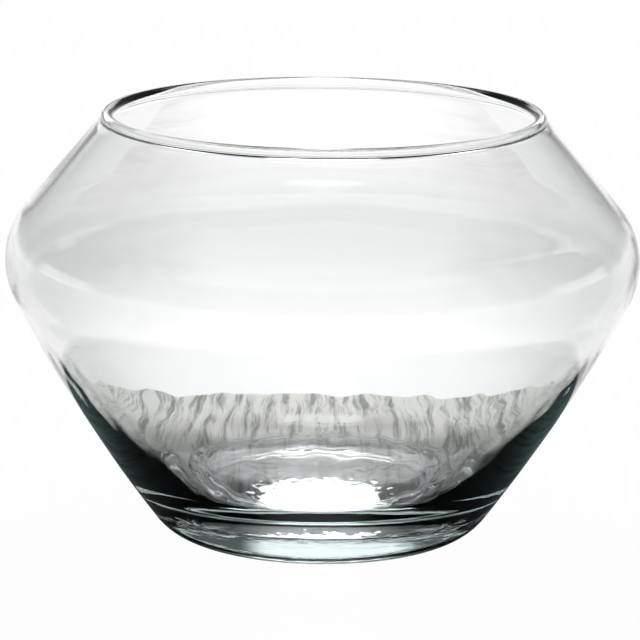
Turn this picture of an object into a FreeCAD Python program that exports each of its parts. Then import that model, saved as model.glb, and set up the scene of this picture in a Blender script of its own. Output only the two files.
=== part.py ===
import FreeCAD, Part
import math
import os

# Rose bowl vase: a clear glass bowl with a wide rounded belly, a cone-shaped
# shoulder drawn in to a smaller mouth, and a lower wall that narrows to a thick,
# heavy base. It is blown as one piece of glass, so it is one solid.
#
# All sizes are in millimetres. The origin is the centre of the foot, on the
# table, and +Z points up through the mouth. The shape is one outline in the
# half-plane (radius, height), turned once round the Z axis.

# Outside of the bowl
belly_diameter = 200.0      # the widest part
lower_height = 88.5         # table to the widest part
upper_height = 46.9         # widest part to the top of the rim
belly_round = 24.8          # radius of the rounded belly
mouth_diameter = 136.0      # across the mouth, middle of rim to middle of rim
lower_wall_bulge = 512.0    # radius of the gentle curve below the belly
heel_round = 16.6           # radius between the lower wall and the foot
foot_diameter = 80.0        # outer edge of the flat standing ring

# Underside
ring_width = 6.0            # width of the flat standing ring
hollow_depth = 1.2          # how far the underside rises inside that ring

# Glass thickness and inside
wall = 2.4                  # shoulder and belly
rim_bead = 3.8              # thickness of the fire-polished rim
rim_blend = 1.2             # radius where the rim's bead flows into the wall
base_thickness = 13.5       # table to the inside floor
floor_diameter = 87.6       # flat part of the inside floor
floor_corner = 2.0          # radius between the floor and the rounded bottom
bottom_round = 48.0         # radius of the rounded bottom
bottom_diameter = 48.0      # across the circle that the rounded bottom's centre goes round
inside_bulge = 230.0        # radius of the inside curve from there up to the belly


def point(radius, height):
    """A place in the outline's half-plane, which is the XZ plane at y = 0."""
    return FreeCAD.Vector(radius, 0, height)


def direction(angle):
    """The unit step at an angle above the horizontal, in radians."""
    return point(math.cos(angle), math.sin(angle))


def along(start, goal, distance):
    """The place at a distance from start, on the way to goal and beyond."""
    step = goal - start
    step.normalize()
    return start + step * distance


def bulge_centre(upper, upper_radius, lower, lower_radius, bulge):
    """The centre of the arc of radius bulge that wraps round two smaller circles.

    The arc touches both circles from outside, so its centre lies bulge minus
    each radius away from their centres, on the side of the vase's axis.
    """
    from_upper = bulge - upper_radius
    from_lower = bulge - lower_radius
    gap = (lower - upper).Length
    foot = (from_upper ** 2 - from_lower ** 2 + gap ** 2) / (2 * gap)
    height = math.sqrt(from_upper ** 2 - foot ** 2)
    downhill = lower - upper
    downhill.normalize()
    inward = point(downhill.z, -downhill.x)
    return upper + downhill * foot + inward * height


def arc(start, middle, end):
    """A circular arc through three places."""
    return Part.Arc(start, middle, end).toShape()


def arc_about(centre, radius, start, end):
    """The short arc from start to end round a centre."""
    halfway = along(centre, (start + end) * 0.5, radius)
    return arc(start, halfway, end)


bowl_height = lower_height + upper_height
belly_centre = point(belly_diameter / 2 - belly_round, lower_height)
rim_centre = point(mouth_diameter / 2, bowl_height - rim_bead / 2)

# The shoulder's middle line runs from the rim's centre and just touches the
# middle of the belly's wall. Its outward normal leans up by shoulder_angle.
belly_to_rim = rim_centre - belly_centre
rim_angle = math.atan2(belly_to_rim.z, belly_to_rim.x)
shoulder_angle = rim_angle - math.acos((belly_round - wall / 2) / belly_to_rim.Length)
outward = direction(shoulder_angle)
uphill = direction(shoulder_angle + math.pi / 2)


def lower_line(belly_radius, corner, corner_radius, bulge):
    """The wall below the belly, as its bulge's centre and its two ends."""
    centre = bulge_centre(belly_centre, belly_radius, corner, corner_radius, bulge)
    top = along(centre, belly_centre, bulge)
    bottom = along(centre, corner, bulge)
    return centre, top, bottom


def outside_edges():
    """Foot, heel, lower wall, belly and shoulder, from the ring up to the rim."""
    foot_radius = foot_diameter / 2
    ring_edge = point(foot_radius, 0)
    heel_centre = point(foot_radius, heel_round)
    centre, top, bottom = lower_line(belly_round, heel_centre, heel_round, lower_wall_bulge)
    shoulder_start = belly_centre + outward * belly_round
    return [
        Part.makeLine(point(foot_radius - ring_width, 0), ring_edge),
        arc_about(heel_centre, heel_round, ring_edge, bottom),
        arc_about(centre, lower_wall_bulge, bottom, top),
        arc_about(belly_centre, belly_round, top, shoulder_start),
        Part.makeLine(shoulder_start, blend_foot(outward)),
    ]


def blend_centre(side):
    """The centre of the small curve between the rim's bead and one face of the wall."""
    reach = rim_bead / 2 + rim_blend
    aside = wall / 2 + rim_blend
    back = math.sqrt(reach ** 2 - aside ** 2)
    return rim_centre + side * aside - uphill * back


def blend_foot(side):
    """Where that small curve meets the wall's face."""
    return blend_centre(side) - side * rim_blend


def rim_edges():
    """The fire-polished bead on top of the wall, with a blend on each side."""
    inward = outward * -1
    outer_touch = along(rim_centre, blend_centre(outward), rim_bead / 2)
    inner_touch = along(rim_centre, blend_centre(inward), rim_bead / 2)
    outer_side = rim_centre + outward * (rim_bead / 2)
    inner_side = rim_centre + inward * (rim_bead / 2)
    rim_top = rim_centre + uphill * (rim_bead / 2)
    bead = [outer_touch, outer_side, rim_top, inner_side, inner_touch]
    return [
        arc_about(blend_centre(outward), rim_blend, blend_foot(outward), outer_touch),
        *[arc_about(rim_centre, rim_bead / 2, *ends) for ends in zip(bead, bead[1:])],
        arc_about(blend_centre(inward), rim_blend, inner_touch, blend_foot(inward)),
    ]


def bottom_centre(corner_centre):
    """The centre of the rounded bottom, which wraps round the floor's corner."""
    reach = bottom_round - floor_corner
    aside = corner_centre.x - bottom_diameter / 2
    return point(bottom_diameter / 2, corner_centre.z + math.sqrt(reach ** 2 - aside ** 2))


def inside_edges():
    """Shoulder, belly, lower wall, bottom, corner and floor, from the rim to the axis."""
    floor_radius = floor_diameter / 2
    inner_belly = belly_round - wall
    corner_centre = point(floor_radius, base_thickness + floor_corner)
    bowl_centre = bottom_centre(corner_centre)
    centre, top, bottom = lower_line(inner_belly, bowl_centre, bottom_round, inside_bulge)
    corner_touch = along(bowl_centre, corner_centre, bottom_round)
    shoulder_start = belly_centre + outward * inner_belly
    floor_edge = point(floor_radius, base_thickness)
    return [
        Part.makeLine(blend_foot(outward * -1), shoulder_start),
        arc_about(belly_centre, inner_belly, shoulder_start, top),
        arc_about(centre, inside_bulge, top, bottom),
        arc_about(bowl_centre, bottom_round, bottom, corner_touch),
        arc_about(corner_centre, floor_corner, corner_touch, floor_edge),
        Part.makeLine(floor_edge, point(0, base_thickness)),
    ]


def underside_edges():
    """The shallow hollow under the base, from the axis out to the standing ring."""
    hollow_radius = foot_diameter / 2 - ring_width
    hollow_bulge = (hollow_radius ** 2 + hollow_depth ** 2) / (2 * hollow_depth)
    hollow_centre = point(0, hollow_depth - hollow_bulge)
    crown = point(0, hollow_depth)
    return [
        Part.makeLine(point(0, base_thickness), crown),
        arc_about(hollow_centre, hollow_bulge, crown, point(hollow_radius, 0)),
    ]


def glass_bowl():
    """The whole vase: its outline turned once round the Z axis."""
    edges = outside_edges() + rim_edges() + inside_edges() + underside_edges()
    outline = Part.Face(Part.Wire(edges))
    return outline.revolve(point(0, 0), FreeCAD.Vector(0, 0, 1), 360)


os.makedirs("parts", exist_ok=True)
bowl = glass_bowl()
bowl.exportStep("parts/glass_bowl.step")

litre = 1e6
box = bowl.optimalBoundingBox(False, False)
print("glass_bowl: valid", bowl.isValid(), "of type", bowl.ShapeType)
print("width %.2f mm, height %.2f mm" % (box.XLength, box.ZLength))
print("glass %.3f litre" % (bowl.Volume / litre))
print("shoulder leans %.2f degrees from upright" % math.degrees(shoulder_angle))
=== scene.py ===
import math

import bpy
import numpy as np
from mathutils import Matrix, Vector


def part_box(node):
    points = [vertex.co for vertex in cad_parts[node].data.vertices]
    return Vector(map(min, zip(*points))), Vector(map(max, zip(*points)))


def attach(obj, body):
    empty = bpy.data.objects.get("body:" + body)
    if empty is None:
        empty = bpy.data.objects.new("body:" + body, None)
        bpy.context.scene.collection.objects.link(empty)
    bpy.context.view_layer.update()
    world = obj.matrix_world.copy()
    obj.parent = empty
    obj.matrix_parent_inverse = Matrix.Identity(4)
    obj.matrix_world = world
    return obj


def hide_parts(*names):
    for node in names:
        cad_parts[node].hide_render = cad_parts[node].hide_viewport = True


# %% [markdown]
# # A rose bowl vase in clear glass
#
# The vase is one piece of blown glass: a thick base, a lower wall that thins as
# it rises, a rounded belly, a cone-shaped shoulder and a fire-polished rim.
# Clear glass has almost no colour of its own. What you see is its outline
# bending the light, so the two things that matter here are the exact thickness
# of the glass everywhere and what stands around it for the light to come from.

# %% Load the construction model
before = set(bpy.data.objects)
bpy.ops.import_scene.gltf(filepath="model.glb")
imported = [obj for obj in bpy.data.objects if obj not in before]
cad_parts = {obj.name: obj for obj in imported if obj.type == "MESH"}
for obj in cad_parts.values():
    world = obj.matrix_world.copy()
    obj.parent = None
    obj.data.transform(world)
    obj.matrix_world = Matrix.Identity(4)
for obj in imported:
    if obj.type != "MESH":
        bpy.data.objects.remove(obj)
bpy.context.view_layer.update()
low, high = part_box("glass_bowl")
mm = 0.001
belly_radius = (high.x - low.x) / 2
bowl_height = high.z
print("belly radius %.4f m, height %.4f m" % (belly_radius, bowl_height))

# %% [markdown]
# ## The camera
#
# The photograph was taken with a long lens from a little above the rim. The
# lens length and the height are set so that the rim's ellipse, the widest line
# and the foot fall where they do in the photograph. The camera is also rolled
# by half a degree, because the vase leans that much in the picture.

# %% Camera
camera_distance = 1.2
camera_elevation = math.radians(12.78)
camera_roll = math.radians(0.549)
lens_pixels = 3779.4
picture_pixels = 640
aim_height = 65 * mm
aim_pixel_x = 321.8
aim_pixel_y = 329.8

sensor_width = 36.0
camera_data = bpy.data.cameras.new("camera")
camera_data.sensor_width = sensor_width
camera_data.lens = sensor_width * lens_pixels / picture_pixels
camera_data.shift_x = (picture_pixels / 2 - aim_pixel_x) / picture_pixels
camera_data.shift_y = (aim_pixel_y - picture_pixels / 2) / picture_pixels

aim = Vector((0, 0, aim_height))
away = Vector((0, -math.cos(camera_elevation), math.sin(camera_elevation)))
camera = bpy.data.objects.new("camera", camera_data)
turn = away.to_track_quat("Z", "Y").to_matrix() @ Matrix.Rotation(camera_roll, 3, "Z")
camera.matrix_world = Matrix.Translation(aim + away * camera_distance) @ turn.to_4x4()
bpy.context.scene.collection.objects.link(camera)
bpy.context.scene.camera = camera
print("lens %.1f mm at %.2f m" % (camera_data.lens, camera_distance))

# %% [markdown]
# ## The outline of the glass
#
# The bowl is a turned shape, so everything is in its outline: a chain of arcs
# and lines in the half-plane (radius, height), each arc touching the next one
# without a kink. A kink would show as a hard bright ring in clear glass, because
# the light bends by the slope of the surface. The helpers below give the points
# of an arc or a line as whole arrays.

# %% Outline helpers
def spot(radius, height):
    """A place in the outline's half-plane."""
    return np.array([radius, height], float)


def towards(start, goal, distance):
    """The place at a distance from start on the way to goal."""
    step = goal - start
    return start + step * distance / np.hypot(*step)


def line(start, end, count):
    """Count steps from start to end: start + t (end - start), without the end."""
    t = np.linspace(0, 1, count, endpoint=False)[:, None]
    return start + t * (end - start)


def arc(centre, start, end, count):
    """Count steps along the short arc: centre + R (cos a, sin a), without the end."""
    from_start = start - centre
    from_end = end - centre
    radius = np.hypot(*from_start)
    first = math.atan2(from_start[1], from_start[0])
    last = math.atan2(from_end[1], from_end[0])
    sweep = (last - first + math.pi) % (2 * math.pi) - math.pi
    a = first + sweep * np.linspace(0, 1, count, endpoint=False)
    return centre + radius * np.stack([np.cos(a), np.sin(a)], axis=-1)


def bulge_centre(upper, upper_radius, lower, lower_radius, bulge):
    """The centre of the arc of radius bulge that wraps round two smaller circles.

    It lies bulge minus each radius away from their centres, on the axis's side.
    """
    a = bulge - upper_radius
    b = bulge - lower_radius
    gap = np.hypot(*(lower - upper))
    foot = (a * a - b * b + gap * gap) / (2 * gap)
    height = math.sqrt(a * a - foot * foot)
    down = (lower - upper) / gap
    return upper + down * foot + np.array([down[1], -down[0]]) * height


quarter = arc(spot(0, 0), spot(1, 0), spot(0, 1), 3)
print("a quarter circle in three steps:", quarter.round(2).tolist())

# %% [markdown]
# ## The sizes
#
# The sizes are those of the construction model. The belly and the height were
# read from it above, and the rest is written out, because the outline is worked
# out anew here and not taken from the model's mesh, whose flat facets would show
# as stripes in clear glass. The shoulder's lean is not a size of its own: it is
# the lean at which a straight wall runs from the belly to the rim's centre.

# %% Sizes of the bowl, as built
belly_height = 88.5 * mm
belly_round = 24.8 * mm
mouth_radius = 68.0 * mm
lower_wall_bulge = 512.0 * mm
heel_round = 16.6 * mm
foot_radius = 40.0 * mm
ring_width = 6.0 * mm
hollow_depth = 1.2 * mm
wall = 2.4 * mm
rim_bead = 3.8 * mm
rim_blend = 1.2 * mm
base_thickness = 13.5 * mm
floor_radius = 43.8 * mm
floor_corner = 2.0 * mm
bottom_round = 48.0 * mm
bottom_radius = 24.0 * mm
inside_bulge = 230.0 * mm

belly_centre = spot(belly_radius - belly_round, belly_height)
rim_centre = spot(mouth_radius, bowl_height - rim_bead / 2)
to_rim = rim_centre - belly_centre
lean = math.atan2(to_rim[1], to_rim[0]) - math.acos((belly_round - wall / 2) / np.hypot(*to_rim))
outward = spot(math.cos(lean), math.sin(lean))
uphill = spot(-math.sin(lean), math.cos(lean))
print("the shoulder leans %.1f degrees" % math.degrees(lean))

# %% [markdown]
# ## One closed line
#
# The line starts on the axis, in the middle of the inside floor, climbs the
# inside of the wall, goes over the rim's bead, comes down the outside and ends on
# the axis again, in the middle of the hollow under the foot. Both faces of the
# glass are in it, because light bends twice in every wall, once where it goes in
# and once where it comes out. A single skin with no thickness would look like a
# soap bubble and not like a vase with a heavy base.
#
# The points lie close together where the line bends sharply, at the rim, the
# floor's corner and the heel, and under the rings of the floor, and further
# apart where the line is nearly straight.

# %% The outline, from the middle of the floor over the rim to the middle of the underside
close_points_start = 35 * mm


def rim_blend_centre(side):
    """The centre of the small curve between the rim's bead and one face of the wall."""
    reach = rim_bead / 2 + rim_blend
    aside = wall / 2 + rim_blend
    return rim_centre + side * aside - uphill * math.sqrt(reach ** 2 - aside ** 2)


def inside_outline():
    """Floor, corner, rounded bottom, lower wall, belly and shoulder, going up."""
    inner_belly = belly_round - wall
    corner_centre = spot(floor_radius, base_thickness + floor_corner)
    floor_edge = spot(floor_radius, base_thickness)
    close_points = spot(close_points_start, base_thickness)
    reach = bottom_round - floor_corner
    lift = math.sqrt(reach ** 2 - (floor_radius - bottom_radius) ** 2)
    bowl_centre = spot(bottom_radius, corner_centre[1] + lift)
    corner_end = towards(bowl_centre, corner_centre, bottom_round)
    centre = bulge_centre(belly_centre, inner_belly, bowl_centre, bottom_round, inside_bulge)
    top = towards(centre, belly_centre, inside_bulge)
    bottom = towards(centre, bowl_centre, inside_bulge)
    shoulder = belly_centre + outward * inner_belly
    blend = rim_blend_centre(-outward)
    return [
        np.concatenate([line(spot(0, base_thickness), close_points, 20),
                        line(close_points, floor_edge, 26)]),
        arc(corner_centre, floor_edge, corner_end, 8),
        arc(bowl_centre, corner_end, bottom, 26),
        arc(centre, bottom, top, 40),
        arc(belly_centre, top, shoulder, 28),
        line(shoulder, blend + outward * rim_blend, 12),
        arc(blend, blend + outward * rim_blend, towards(rim_centre, blend, rim_bead / 2), 4),
    ]


def rim_outline():
    """The rounded bead, over the top from the inside to the outside."""
    inner = towards(rim_centre, rim_blend_centre(-outward), rim_bead / 2)
    outer = towards(rim_centre, rim_blend_centre(outward), rim_bead / 2)
    crown = rim_centre + uphill * rim_bead / 2
    return [arc(rim_centre, inner, crown, 8), arc(rim_centre, crown, outer, 8)]


def outside_outline():
    """Shoulder, belly, lower wall, heel, ring and hollow: the outside, going down."""
    heel_centre = spot(foot_radius, heel_round)
    centre = bulge_centre(belly_centre, belly_round, heel_centre, heel_round, lower_wall_bulge)
    top = towards(centre, belly_centre, lower_wall_bulge)
    bottom = towards(centre, heel_centre, lower_wall_bulge)
    shoulder = belly_centre + outward * belly_round
    blend = rim_blend_centre(outward)
    outer = towards(rim_centre, blend, rim_bead / 2)
    hollow_radius = foot_radius - ring_width
    hollow_bulge = (hollow_radius ** 2 + hollow_depth ** 2) / (2 * hollow_depth)
    hollow_centre = spot(0, hollow_depth - hollow_bulge)
    return [
        arc(blend, outer, blend - outward * rim_blend, 4),
        line(blend - outward * rim_blend, shoulder, 12),
        arc(belly_centre, shoulder, top, 28),
        arc(centre, top, bottom, 40),
        arc(heel_centre, bottom, spot(foot_radius, 0), 24),
        line(spot(foot_radius, 0), spot(hollow_radius, 0), 4),
        arc(hollow_centre, spot(hollow_radius, 0), spot(0, hollow_depth), 16),
        spot(0, hollow_depth)[None, :],
    ]


parts = inside_outline() + rim_outline() + outside_outline()
print("outline of %d points in %d parts" % (sum(map(len, parts)), len(parts)))

# %% [markdown]
# ## Waves in the glass
#
# A perfectly turned bowl would look machined. Blown glass keeps small waves: the
# outside has cooled against a mould or in the air, and the thick floor has
# shrunk a little as it set, which leaves rings round its edge. The waves are
# some hundredths of a millimetre high, less than anyone could feel, and the two
# rings about half a millimetre. But glass bends what is behind it by the slope,
# so they turn straight edges into wavy ones and the bright ring round the floor
# into broken double lines.
#
# They are part of the shape and not a bump in the material. A bump changes only
# the shading of one face, while here the two faces of the wall must work
# together like a lens. A sum of cosines with whole numbers of crests round the
# bowl closes without a seam, and the dice are seeded, so it is the same bowl
# every time.

# %% Waves that close round the bowl
def sections(parts):
    """The path length along the outline, and the number of the part each point is in."""
    joined = np.concatenate(parts)
    steps = np.hypot(*np.diff(joined, axis=0).T)
    travelled = np.concatenate([[0], np.cumsum(steps)])
    part = np.repeat(np.arange(len(parts)), [len(points) for points in parts])
    return travelled, part


def waves(travelled, v, seed, height, around, along, count=28):
    """A field of small waves: the sum of height cos(n v + k s + phase) / sqrt(count).

    Each wave has its own whole number n of crests round the bowl, its own k
    along the outline (from the wave length in along) and its own phase.
    """
    dice = np.random.default_rng(seed)
    n = dice.integers(around[0], around[1], count)
    k = 2 * np.pi / dice.uniform(along[0], along[1], count) * dice.choice([-1, 1], count)
    phase = dice.uniform(0, 2 * np.pi, count)
    field = np.zeros((len(travelled), len(v)))
    for crests, slope, shift in zip(n, k, phase):
        field += np.cos(crests * v + slope * travelled[:, None] + shift)
    return height * field / math.sqrt(count)


sample = waves(np.linspace(0, 0.1, 50), np.linspace(0, 6, 60), 1, 1.0, (4, 34), (0.004, 0.012))
print("waves of height 1 have a spread of %.2f and reach %.2f" % (sample.std(), sample.max()))

# %% [markdown]
# ## Where the waves go
#
# The floor and its corner have fine waves. Long ones are on the inside of the
# wall up to the belly and on the whole outside, and the rim, the foot's ring and
# the middle of the floor have none. Near the floor and near the foot the waves
# fade in and out, because a sudden start would show there as a step in the thick
# base. The rings are ridges, bell-shaped across, and each drifts a little
# inwards and outwards on its way round.

# %% Waves of the floor, the rings and the wall
fine_waves = (4 * mm, 12 * mm)
ring_waves = (8 * mm, 30 * mm)
middle_waves = (9 * mm, 40 * mm)
long_waves = (30 * mm, 90 * mm)
calm_middle = 20 * mm
corner_width = 2.5 * mm
wall_start = 3 * mm
wall_rise = 12 * mm
foot_length = 42 * mm
foot_fade = 10 * mm
ring_drift = 0.5 * mm
floor_rings = [
    (42.6 * mm, 0.60 * mm, 0.9 * mm, 21),
    (39.0 * mm, 0.50 * mm, 1.1 * mm, 22),
]


def floor_waves(travelled, part, radius, v):
    """Fine waves on the floor and at its corner, and the two rings.

    A ring is height exp(-((s - ring - drift(v)) / width)^2), with s the distance
    along the outline, which on the floor is the distance from the axis.
    """
    floor = (part == 0) * np.clip(radius / calm_middle, 0, 1)
    corner = np.exp(-((travelled - floor_radius) / corner_width) ** 2)
    move = floor[:, None] * waves(travelled, v, 3, 0.030 * mm, (4, 34), fine_waves)
    for ring, height, width, seed in floor_rings:
        drift = waves(np.zeros(1), v, seed, ring_drift, (3, 30), ring_waves, 10)
        move += height * np.exp(-((travelled[:, None] - ring - drift) / width) ** 2)
    move += corner[:, None] * waves(travelled, v, 5, 0.04 * mm, (6, 60), ring_waves)
    return move


def wall_waves(travelled, part, v):
    """Long waves on both faces of the wall, with some finer ones on the inside.

    They grow evenly along wall_rise above the floor's corner, and fade evenly
    along foot_fade before the last foot_length of the outline.
    """
    inside = (part >= 2) & (part <= 4)
    rise = np.clip((travelled - floor_radius - wall_start) / wall_rise, 0, 1)
    outside = (part >= 9) & (part <= 13)
    fade = np.clip((travelled[-1] - travelled - foot_length) / foot_fade, 0, 1)
    fine = waves(travelled, v, 7, 0.012 * mm, (14, 64), middle_waves)
    inner = waves(travelled, v, 8, 0.050 * mm, (2, 9), long_waves)
    outer = waves(travelled, v, 11, 0.05 * mm, (2, 9), long_waves)
    return (inside * rise)[:, None] * (fine + inner) + (outside * fade)[:, None] * outer


def ripple(parts, v):
    """How far each point moves out of the glass, which is to the left of the path."""
    travelled, part = sections(parts)
    radius = np.concatenate(parts)[:, 0]
    return floor_waves(travelled, part, radius, v) + wall_waves(travelled, part, v)


one_round = np.arange(90) * 2 * np.pi / 90
print("the waves and rings reach %.2f mm" % (np.abs(ripple(parts, one_round)).max() / mm))

# %% [markdown]
# ## Turning the outline
#
# The outline is carried once round the upright axis. That could be a Screw
# modifier, but then there would be no way to add the waves along each point's
# own normal, so the surface is worked out here as one grid: the outline's points
# in one direction and the angle in the other. The grid is closed round the
# bowl, and a fan of triangles closes it on the axis at each end.

# %% Turn the outline into the bowl's mesh
def turned_points(parts, v):
    """The point on the axis, the grid (r cos v, r sin v, z) and the last point.

    Each point of the grid is first moved by the waves along the outline's normal
    (-dz, dr), where (dr, dz) is the outline's direction there, of length 1.
    """
    outline = np.concatenate(parts)
    along = np.gradient(outline, axis=0)
    along /= np.hypot(*along.T)[:, None]
    move = ripple(parts, v)[1:-1]
    radius = outline[1:-1, 0, None] - along[1:-1, 1, None] * move
    height = outline[1:-1, 1, None] + along[1:-1, 0, None] * move
    grid = np.stack([radius * np.cos(v), radius * np.sin(v), height], axis=-1)
    first = np.array([[0, 0, outline[0, 1]]])
    last = np.array([[0, 0, outline[-1, 1]]])
    return np.concatenate([first, grid.reshape(-1, 3), last])


def turned_faces(rows, turns):
    """Squares between neighbouring rows, and a fan of triangles at each end."""
    here = np.arange(turns)
    after = np.roll(here, -1)
    row = 1 + turns * np.arange(rows - 1)[:, None]
    squares = np.stack([row + here, row + turns + here, row + turns + after, row + after], axis=-1)
    start = np.stack([np.zeros_like(here), 1 + here, 1 + after], axis=-1)
    last_row = 1 + turns * (rows - 1)
    last_point = np.full_like(here, 1 + turns * rows)
    end = np.stack([last_row + after, last_row + here, last_point], axis=-1)
    return start.tolist() + squares.reshape(-1, 4).tolist() + end.tolist()


def turned(name, parts, turns):
    """A closed surface of revolution, from an outline that starts and ends on the axis."""
    v = np.arange(turns) * 2 * np.pi / turns
    points = turned_points(parts, v)
    rows = (len(points) - 2) // turns
    mesh = bpy.data.meshes.new(name)
    mesh.from_pydata(points.tolist(), [], turned_faces(rows, turns))
    mesh.shade_smooth()
    mesh.validate()
    piece = bpy.data.objects.new(name, mesh)
    bpy.context.scene.collection.objects.link(piece)
    return piece


bowl = turned("bowl", parts, 320)
print("bowl of %d faces" % len(bowl.data.polygons))

# %% [markdown]
# ## The glass itself
#
# Soda-lime glass bends light by 1.52, and that alone gives the black and white
# edges of the base. It also takes a little light away on the way through, more
# of the red than of the green and blue. In a wall of 2.4 mm that can't be seen.
# Along the edge of the belly, where the light runs for several centimetres
# inside the wall, it draws a soft grey outline, and in the heel it leaves a
# faint cool tint. So the colour is put into the volume, by the distance that the
# light travels, and not on the surface, where it would tint the thin wall as
# much as the thick base.

# %% Glass
bending = 1.52
glass_colour = (0.42, 0.56, 0.57, 1)
glass_density = 9.0


def clear_glass():
    """Colourless glass whose faint blue-green tint only shows where it is thick."""
    glass = bpy.data.materials.new("clear_glass")
    glass.use_nodes = True
    nodes = glass.node_tree.nodes
    shader = nodes["Principled BSDF"]
    shader.inputs["Base Color"].default_value = (1, 1, 1, 1)
    shader.inputs["Roughness"].default_value = 0.0
    shader.inputs["IOR"].default_value = bending
    shader.inputs["Transmission Weight"].default_value = 1.0
    tint = nodes.new("ShaderNodeVolumeAbsorption")
    tint.inputs["Color"].default_value = glass_colour
    tint.inputs["Density"].default_value = glass_density
    glass.node_tree.links.new(tint.outputs["Volume"], nodes["Material Output"].inputs["Volume"])
    return glass


bowl.data.materials.append(clear_glass())
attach(bowl, "root")
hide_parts("glass_bowl")
left_over = [math.exp(-glass_density * 0.05 * (1 - colour)) for colour in glass_colour[:3]]
print("5 cm of glass leaves %.2f of the red, %.2f of the green, %.2f of the blue" % tuple(left_over))

# %% [markdown]
# ## Helpers for nodes
#
# The room and the floor below are both worked out from a few numbers: the
# direction of a ray, or the place where it lands. Nodes do such sums one at a
# time, and each takes four or five lines to set up. The helpers here make a
# sum one line, and every one of them takes numbers or the results of other sums.

# %% Node helpers
def feed(tree, socket, value):
    """Link an input to another node's output, or set it to a plain value."""
    if isinstance(value, bpy.types.NodeSocket):
        tree.links.new(value, socket)
    else:
        socket.default_value = value


def number(tree, operation, *values, clamp=False):
    """One sum on numbers, such as MULTIPLY_ADD for a times b plus c."""
    node = tree.nodes.new("ShaderNodeMath")
    node.operation = operation
    node.use_clamp = clamp
    for socket, value in zip(node.inputs, values):
        feed(tree, socket, value)
    return node.outputs["Value"]


def vector(tree, operation, *values, output="Vector"):
    """One sum on whole vectors, whose output is a Vector or a Value."""
    node = tree.nodes.new("ShaderNodeVectorMath")
    node.operation = operation
    for socket, value in zip(node.inputs, values):
        feed(tree, socket, value)
    return node.outputs[output]


def smooth(tree, value, start, end, low=0.0, high=1.0):
    """A level that goes smoothly from low, where value is start, to high at end."""
    node = tree.nodes.new("ShaderNodeMapRange")
    node.interpolation_type = "SMOOTHSTEP"
    for name, setting in (("Value", value), ("From Min", start), ("From Max", end),
                          ("To Min", low), ("To Max", high)):
        feed(tree, node.inputs[name], setting)
    return node.outputs["Result"]


def ramp(tree, value, stops):
    """A row of colours along value, blended from each stop (place, colour) to the next."""
    node = tree.nodes.new("ShaderNodeValToRGB")
    elements = node.color_ramp.elements
    for index, (place, colour) in enumerate(stops):
        stop = elements[index] if index < 2 else elements.new(place)
        stop.position = place
        stop.color = (*colour, 1)
    feed(tree, node.inputs["Fac"], value)
    return node.outputs["Color"]


def blend(tree, kind, share, first, second):
    """Two colours in one: MIX fades from the first to the second, MULTIPLY multiplies."""
    node = tree.nodes.new("ShaderNodeMix")
    node.data_type = "RGBA"
    node.blend_type = kind
    for name, setting in (("Factor", share), ("A", first), ("B", second)):
        feed(tree, node.inputs[name], setting)
    return node.outputs["Result"]


def choose(tree, share, first, second):
    """The first shader where share is 0, the second where it is 1."""
    node = tree.nodes.new("ShaderNodeMixShader")
    for socket, setting in zip(node.inputs, (share, first, second)):
        feed(tree, socket, setting)
    return node.outputs["Shader"]


white = (1, 1, 1, 1)
print("helpers for sums, smooth steps, ramps and mixes")

# %% [markdown]
# ## The room around the vase
#
# Clear glass is a picture of the room that it stands in, so the room is drawn
# with care. It is white below eye level, as in the photograph, and dim above,
# because a bright room all round would wash out every dark line. A few soft
# panels are placed by the direction in which they lie: one overhead and behind
# the vase, a small one almost straight above, a low one behind that lights the
# heel, a low one at each side and a faint one high in front.
#
# Each panel is a soft-edged window in the world's background, the product of a
# few smooth steps in x, y and z of the direction. Lamps could do this too, but
# the edges of a lamp show in glass as hard shapes, and these fade away. The
# camera itself sees plain white there.

# %% The room and its panels
room_levels = [
    (-1.0, (1.0, 1.0, 1.0)),
    (-0.02, (1.0, 1.0, 1.0)),
    (0.04, (0.45, 0.45, 0.45)),
    (0.14, (0.16, 0.17, 0.17)),
    (0.60, (0.12, 0.13, 0.13)),
    (1.0, (0.10, 0.10, 0.10)),
]
panels = {
    "overhead": (2.6, [("Z", 0.60, 0.78), ("Y", 0.20, 0.40)]),
    "zenith": (6.5, [("Z", 0.955, 0.985), ("Y", -0.15, 0.0)]),
    "behind": (1.55, [("Z", 0.10, 0.18), ("Z", 0.36, 0.28), ("X", -0.50, -0.30),
                      ("X", 0.34, 0.2), ("Y", 0.6, 0.8)]),
    "beside": (1.0, [("Z", -0.03, 0.0), ("Z", 0.16, 0.10), ("Y", -0.1, 0.1), ("Y", 0.60, 0.45)]),
    "before": (0.5, [("Z", 0.50, 0.62), ("Z", 0.90, 0.82), ("Y", -0.20, -0.52)]),
}


def window(tree, direction, edges):
    """1 inside a soft-edged window of directions and 0 outside: all the steps multiplied."""
    inside = 1.0
    for axis, start, end in edges:
        step = smooth(tree, direction.outputs[axis], start, end)
        inside = number(tree, "MULTIPLY", inside, step)
    return inside


def white_light(tree, strength):
    """A plain white background of the given strength."""
    light = tree.nodes.new("ShaderNodeBackground")
    light.inputs["Color"].default_value = white
    feed(tree, light.inputs["Strength"], strength)
    return light.outputs["Background"]


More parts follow.
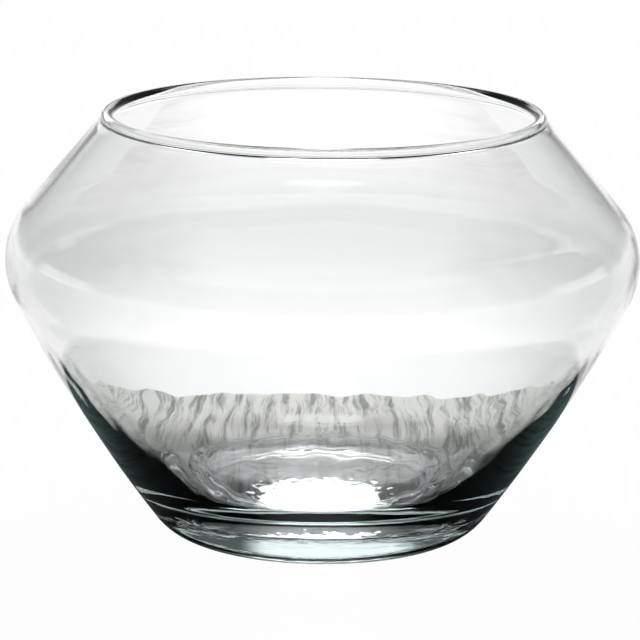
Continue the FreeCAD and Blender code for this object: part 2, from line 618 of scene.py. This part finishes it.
def sky():
    """A dim room with soft panels for the glass to show, and plain white for the camera."""
    world = bpy.data.worlds.new("surroundings")
    world.use_nodes = True
    tree = world.node_tree
    where = tree.nodes.new("ShaderNodeTexCoord")
    direction = tree.nodes.new("ShaderNodeSeparateXYZ")
    feed(tree, direction.inputs["Vector"], where.outputs["Generated"])
    height = number(tree, "MULTIPLY_ADD", direction.outputs["Z"], 0.5, 0.5)
    room = tree.nodes["Background"]
    stops = [((z + 1) / 2, colour) for z, colour in room_levels]
    feed(tree, room.inputs["Color"], ramp(tree, height, stops))
    light = room.outputs["Background"]
    for level, edges in panels.values():
        strength = number(tree, "MULTIPLY", window(tree, direction, edges), level)
        both = tree.nodes.new("ShaderNodeAddShader")
        feed(tree, both.inputs[0], light)
        feed(tree, both.inputs[1], white_light(tree, strength))
        light = both.outputs["Shader"]
    path = tree.nodes.new("ShaderNodeLightPath")
    seen = choose(tree, path.outputs["Is Camera Ray"], light, white_light(tree, 1.0))
    feed(tree, tree.nodes["World Output"].inputs["Surface"], seen)
    bpy.context.scene.world = world


sky()
print("a dim room with the panels", ", ".join(panels))

# %% [markdown]
# ## The floor under the vase
#
# The vase stands on a round floor, three metres across. It lies a twentieth of a
# millimetre below the foot, because two faces in the same place would flicker.
# One flat sheet is enough: everything else about the floor is in its material.

# %% Floor sheet
floor_reach = 1.5
floor_gap = 0.05 * mm


def floor_sheet():
    """One flat face with its corners on a circle: R (cos v, sin v)."""
    v = np.linspace(0, 2 * np.pi, 96, endpoint=False)
    level = np.full_like(v, -floor_gap)
    points = np.stack([floor_reach * np.cos(v), floor_reach * np.sin(v), level], axis=-1)
    mesh = bpy.data.meshes.new("floor")
    mesh.from_pydata(points.tolist(), [], [list(range(len(v)))])
    piece = bpy.data.objects.new("floor", mesh)
    bpy.context.scene.collection.objects.link(piece)
    return piece


floor = floor_sheet()
print("floor %.1f m across" % (2 * floor_reach))

# %% [markdown]
# ## The floor's colour: painted shade and painted caustics
#
# Close to the foot the floor is painted a mottled grey, a painted shadow of the vase,
# which fills the lower third of the bowl in the picture, and it gets paler outwards.
# In front of the foot the painted shadow is much darker than behind it. The streaks
# are painted caustic light and shade: noise that is stretched along the line of
# sight, so that they stand upright in the picture, like the broken reflections in
# the photograph.
#
# Rays that are mirrored in the lower wall meet a floor with painted shade that
# gets dark and blue-green near the foot. That makes the two black wedges at the
# sides of the base, where a wall of glass that leans outwards looks back at a
# painted shadow. A dark ring on the floor would do the same, but it would also
# show through the glass.

# %% Painted shade and painted caustic streaks of the floor
# Painted shadow of the vase: the floor's grey by distance from the axis.
tone_span = 0.25
tones = [
    (0.0, (0.60, 0.61, 0.61)),
    (0.040, (0.60, 0.61, 0.61)),
    (0.047, (0.62, 0.62, 0.60)),
    (0.057, (0.84, 0.84, 0.78)),
    (0.080, (0.97, 0.97, 0.88)),
    (0.150, (0.96, 0.96, 0.92)),
    (0.170, (0.90, 0.90, 0.90)),
]
# Painted shade, blue-green, seen only by rays mirrored in the glass near the foot.
shadow_colour = (0.08, 0.15, 0.16, 1)
shadow_edges = (0.24, 0.16)
# Painted shadow that falls in front of the foot.
front_shadow_edges = (-0.035, 0.035)
front_shadow_level = 0.30
# Painted caustic light and shade, streaked along the line of sight.
streak_stretch = (1.0, 0.035, 1.0)
streaks_per_metre = 290.0
streak_edges = (0.35, 0.56)
streak_levels = (0.38, 1.14)


def noise(tree, place, scale, detail, roughness):
    """Cloudy random levels about a half, with scale clouds to the metre."""
    node = tree.nodes.new("ShaderNodeTexNoise")
    for name, setting in (("Vector", place), ("Scale", scale), ("Detail", detail),
                          ("Roughness", roughness)):
        feed(tree, node.inputs[name], setting)
    return node.outputs["Fac"]


def painted_shade(tree, distance, y, mirrored):
    """Painted shade by distance, a darker painted shadow in front of the foot, and near it for
    mirrored rays.
    """
    place = number(tree, "DIVIDE", distance, tone_span)
    stops = [(radius / tone_span, colour) for radius, colour in tones]
    near = smooth(tree, distance, *shadow_edges)
    dark = number(tree, "MULTIPLY", near, mirrored)
    shadow = blend(tree, "MIX", dark, white, shadow_colour)
    # painted shadow in front of the foot
    front = smooth(tree, y, *front_shadow_edges, low=front_shadow_level)
    level = blend(tree, "MULTIPLY", 1.0, shadow, front)
    return blend(tree, "MULTIPLY", 1.0, ramp(tree, place, stops), level)


def painted_caustic_streaks(tree, place, colour):
    """The colour, with painted caustic streaks of light and shade that run along the line of sight.
    """
    stretched = vector(tree, "MULTIPLY", place, streak_stretch)
    clouds = noise(tree, stretched, streaks_per_metre, 5.0, 0.7)
    streaks = smooth(tree, clouds, *streak_edges, *streak_levels)
    return blend(tree, "MULTIPLY", 1.0, colour, streaks)


print("%d tones in the first %.0f mm" % (len(tones), tones[-1][0] / mm))

# %% [markdown]
# ## Light on the floor
#
# One ragged pool of light lies under the front half of the foot and shows as the
# bright patch inside the base. It is an oval whose edge is torn by noise. A soft
# strip runs from the foot towards the camera, and gives the heel its bright
# middle. Two lamps could not light such small places without lighting the rest.

# %% Pool and strip of light
pool_stretch = (1 / 0.022, 1 / 0.024, 0.0)
pool_middle = (0.0, -0.75, 0.0)
pool_tear = 1.3
pool_edges = (1.66, 1.55)
tears_per_metre = 260.0
strip_sides = (0.030, 0.006)
strip_start = (-0.026, -0.036)


def pool_of_light(tree, place):
    """1 in the oval and 0 outside: its edge is where distance plus noise is about 1.6."""
    oval = vector(tree, "MULTIPLY", place, pool_stretch)
    middle = vector(tree, "DISTANCE", oval, pool_middle, output="Value")
    ragged = noise(tree, place, tears_per_metre, 3.0, 0.5)
    torn = number(tree, "MULTIPLY_ADD", ragged, pool_tear, middle)
    return smooth(tree, torn, *pool_edges)


def strip_of_light(tree, x, y):
    """1 in front of the foot and close to the middle, and 0 elsewhere."""
    narrow = smooth(tree, number(tree, "ABSOLUTE", x), *strip_sides)
    ahead = smooth(tree, y, *strip_start)
    return number(tree, "MULTIPLY", narrow, ahead)


pool_reach = (sum(pool_edges) / 2 - pool_tear / 2) / pool_stretch[0]
print("pool of light about %.0f mm across" % (2 * pool_reach / mm))

# %% [markdown]
# ## What the floor shows to the glass
#
# Past the edge of the grey, a ray that comes through the glass sees a floor that
# glows by itself, in soft bands by distance. They are the pale bands across the
# upper part of the bowl. The photograph is over-exposed there, so the bands
# reach a little above plain white, and the pool of light higher still. To the
# sides the bands are weaker, as the photograph is a little greyer there.

# %% Backdrop
backdrop_levels = [
    (0.0, 0.94),
    (0.21, 0.94),
    (0.26, 0.89),
    (0.32, 0.87),
    (0.38, 0.83),
    (0.44, 0.80),
    (0.51, 0.77),
    (0.58, 0.80),
    (0.65, 0.86),
    (0.85, 0.89),
]
backdrop_gain = 1.25
side_edges = (0.045, 0.125)
side_level = 0.80
pool_gain = 0.6


def backdrop(tree, distance, x, through, pool):
    """The strength of the glow: 1, or the bands for rays through glass, and more in the pool."""
    bands = ramp(tree, distance, [(place, (level,) * 3) for place, level in backdrop_levels])
    aside = number(tree, "ABSOLUTE", x)
    sides = smooth(tree, aside, *side_edges, low=1.0, high=side_level)
    shown = number(tree, "MULTIPLY", bands, sides)
    change = number(tree, "MULTIPLY_ADD", shown, backdrop_gain, -1.0)
    level = number(tree, "MULTIPLY_ADD", change, through, 1.0)
    shine = number(tree, "MULTIPLY_ADD", pool, pool_gain, 1.0)
    return number(tree, "MULTIPLY", level, shine)


print("backdrop up to %.2f" % (backdrop_gain * max(level for place, level in backdrop_levels)))

# %% [markdown]
# ## The floor's material
#
# Two shaders are mixed: a matt one, which takes the room's light and the vase's
# shadow, and one that glows by itself. The camera sees nearly only the glow, so
# the floor is white past the vase. Rays that were bent or mirrored in the glass
# see the matt one near the foot and the glow beyond 15 cm and in the pool.

# %% Floor material
matt_roughness = 0.7
camera_share = 0.975
glow_start = 0.150
glow_full = 0.156


def glow_share(tree, path, distance, pool):
    """How much of the glow a ray sees, worked out for the camera and for rays in the glass."""
    fade = tree.nodes.new("ShaderNodeMapRange")
    for name, setting in (("Value", distance), ("From Min", glow_start), ("From Max", glow_full)):
        feed(tree, fade.inputs[name], setting)
    bright = number(tree, "MAXIMUM", fade.outputs["Result"], pool)
    bent = path.outputs["Is Transmission Ray"]
    in_glass = number(tree, "ADD", bent, path.outputs["Is Glossy Ray"])
    seen = number(tree, "MULTIPLY", in_glass, bright)
    camera = path.outputs["Is Camera Ray"]
    return number(tree, "MULTIPLY_ADD", camera, camera_share, seen, clamp=True)


def floor_paint():
    """A matt floor with painted shade, painted caustic streaks and painted light on it, mixed with
    its own glow.
    """
    paint = bpy.data.materials.new("floor")
    paint.use_nodes = True
    tree = paint.node_tree
    where = tree.nodes.new("ShaderNodeTexCoord").outputs["Object"]
    path = tree.nodes.new("ShaderNodeLightPath")
    split = tree.nodes.new("ShaderNodeSeparateXYZ")
    feed(tree, split.inputs["Vector"], where)
    x = split.outputs["X"]
    y = split.outputs["Y"]
    distance = vector(tree, "LENGTH", where, output="Value")
    bent = path.outputs["Is Transmission Ray"]
    mirrored = number(tree, "SUBTRACT", path.outputs["Is Glossy Ray"], bent, clamp=True)
    pool = pool_of_light(tree, where)

    # The painted shadow round the foot, with painted caustic streaks.
    colour = painted_caustic_streaks(tree, where, painted_shade(tree, distance, y, mirrored))
    # Painted light: the pool and the strip turn the base colour towards white.
    lit = number(tree, "MAXIMUM", strip_of_light(tree, x, y), pool)
    matt = tree.nodes["Principled BSDF"]
    matt.inputs["Roughness"].default_value = matt_roughness
    feed(tree, matt.inputs["Base Color"], blend(tree, "MIX", lit, colour, white))
    glow = tree.nodes.new("ShaderNodeEmission")
    glow.inputs["Color"].default_value = white
    feed(tree, glow.inputs["Strength"], backdrop(tree, distance, x, bent, pool))

    share = glow_share(tree, path, distance, pool)
    both = choose(tree, share, matt.outputs["BSDF"], glow.outputs["Emission"])
    feed(tree, tree.nodes["Material Output"].inputs["Surface"], both)
    return paint


floor.data.materials.append(floor_paint())
print("floor material of %d nodes" % len(floor.data.materials[0].node_tree.nodes))

# %% [markdown]
# ## Plain colours in the picture
#
# A photograph is usually shown with a curve that softens its bright tones. Here
# the tones of the glass are set to the levels of the photograph itself, so the
# picture is shown without such a curve, and white stays white.

# %% Plain colours
bpy.context.scene.view_settings.view_transform = "Standard"
print("colours are shown as they are written")
